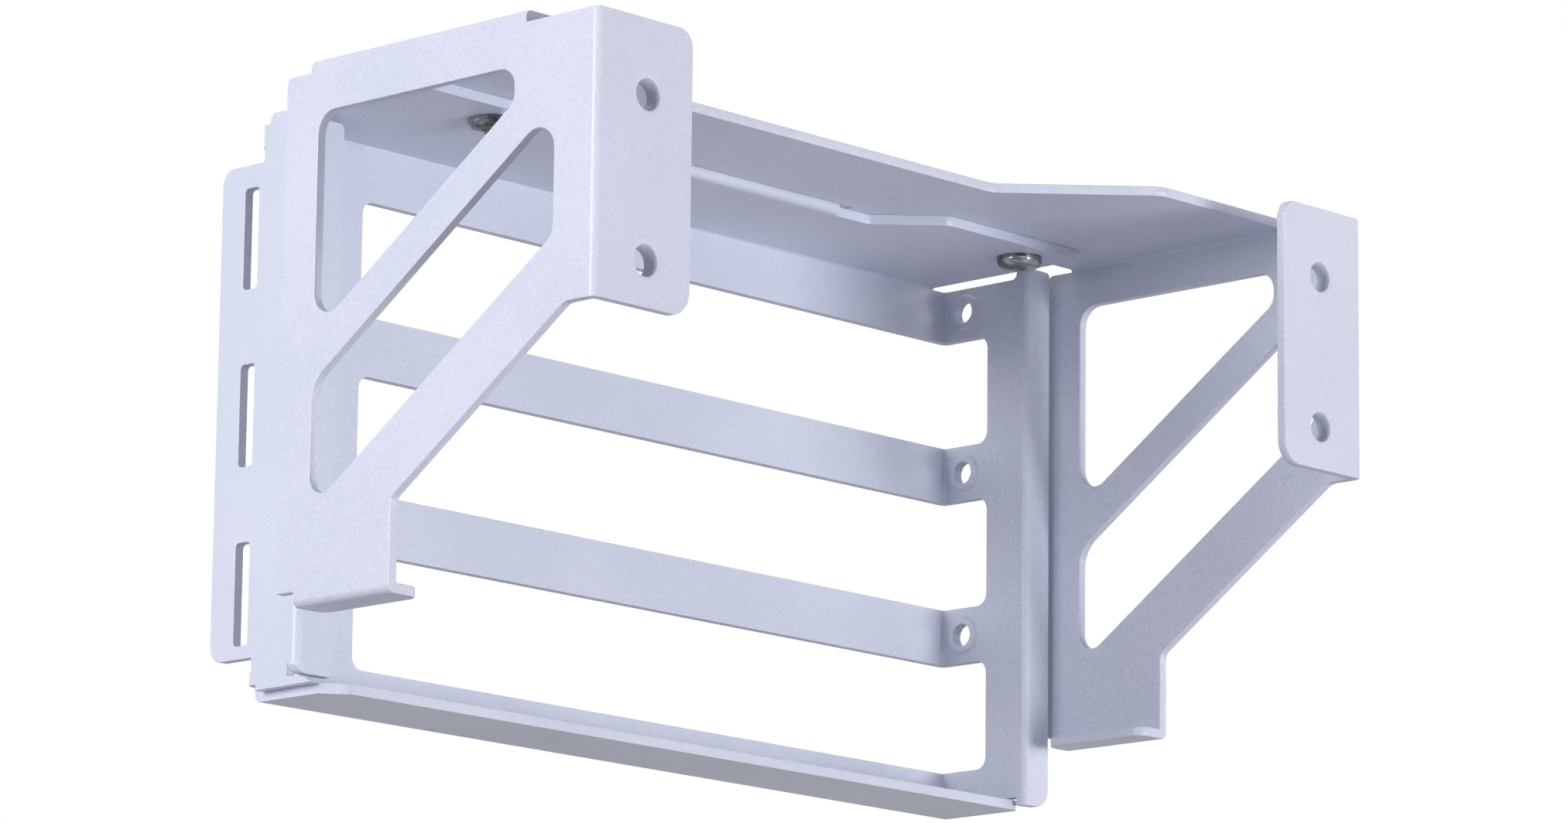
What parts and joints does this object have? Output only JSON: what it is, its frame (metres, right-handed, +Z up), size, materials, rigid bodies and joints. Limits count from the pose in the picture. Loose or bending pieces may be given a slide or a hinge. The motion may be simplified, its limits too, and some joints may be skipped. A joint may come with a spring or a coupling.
{
  "type": "vertical gpu mount",
  "caption": "Folded steel card slot frame hung between two braced arms that screw to a computer case, holding an expansion card upright.",
  "frame": {"origin": "midway between the four case screw holes, on the front faces of the arms' front flanges", "axes": "+X to the right along the card slots, +Y from the case's wall into the case, +Z up"},
  "size_m": [0.1292, 0.068, 0.0701],
  "materials": {
    "powder_coat": "pale powder coat with a fine sparkle over folded steel sheet",
    "plated_steel": "bright plated steel"
  },
  "bodies": {
    "root": {"slot_frame": "powder_coat", "arm_bracket": "powder_coat", "screw_left": "plated_steel", "screw_right": "plated_steel"}
  },
  "joints": []
}
